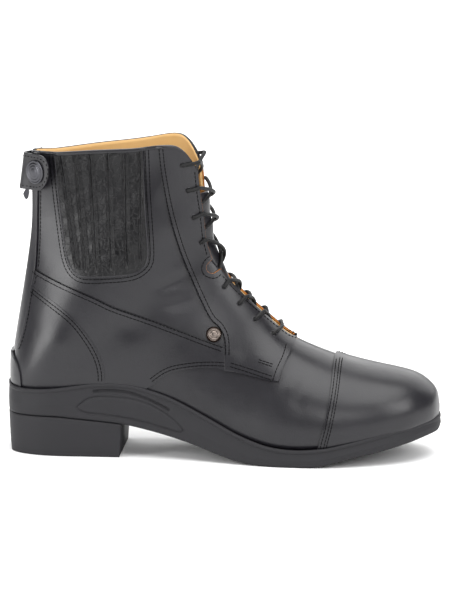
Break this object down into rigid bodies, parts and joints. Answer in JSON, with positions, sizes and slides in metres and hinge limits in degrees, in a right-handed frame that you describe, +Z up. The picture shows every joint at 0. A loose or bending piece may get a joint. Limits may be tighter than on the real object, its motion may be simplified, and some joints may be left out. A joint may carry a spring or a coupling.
{
  "type": "riding boot",
  "caption": "Ankle-high lace-up riding boot in black leather with toe cap, pleated side gussets, back zip under a snap tab, and a rubber sole with a separate heel.",
  "frame": {"origin": "on the floor, at the middle of the heel block's ground face", "axes": "+X towards the toe, +Y towards the inner side of the foot, +Z up"},
  "size_m": [0.29, 0.0986, 0.2108],
  "materials": {
    "black_leather": "smooth polished black leather with a fine grain",
    "pleated_leather": "soft black leather, gathered in pleats over elastic",
    "lining_leather": "smooth tan lining leather",
    "sole_rubber": "matt black moulded rubber",
    "zip_chain": "black woven tape with moulded coil teeth",
    "black_metal": "black lacquered metal, satin",
    "antique_silver": "antique silver, darkened in its rings",
    "waxed_cord": "round waxed black cord"
  },
  "bodies": {
    "boot": {"outsole": "sole_rubber", "heel_block": "sole_rubber", "insole": "lining_leather", "upper": "black_leather", "tongue": "black_leather", "toe_cap": "black_leather", "heel_counter": "black_leather", "spur_rest": "black_leather", "facing_lateral": "black_leather", "quarter_lateral": "black_leather", "gusset_lateral": "pleated_leather", "zip_strip_lateral": "black_leather", "facing_medial": "black_leather", "quarter_medial": "black_leather", "gusset_medial": "pleated_leather", "zip_strip_medial": "black_leather", "zip": "zip_chain", "zip_slider": "black_metal", "snap_tab": "black_leather", "snap_cap": "black_metal", "rivet": "antique_silver", "lace_1": "waxed_cord", "lace_2": "waxed_cord", "lace_3": "waxed_cord", "lace_4": "waxed_cord", "lace_5": "waxed_cord", "lace_6": "waxed_cord", "lace_7": "waxed_cord", "lace_8": "waxed_cord"},
    "pull": {"zip_pull": "black_metal"}
  },
  "joints": [
    {"name": "zip_pull_hinge", "type": "hinge", "parent": "boot", "child": "pull", "pos_m": [-0.02484, 0, 0.1809], "axis": [0, 1, 0], "range_deg": [0, 10]}
  ]
}
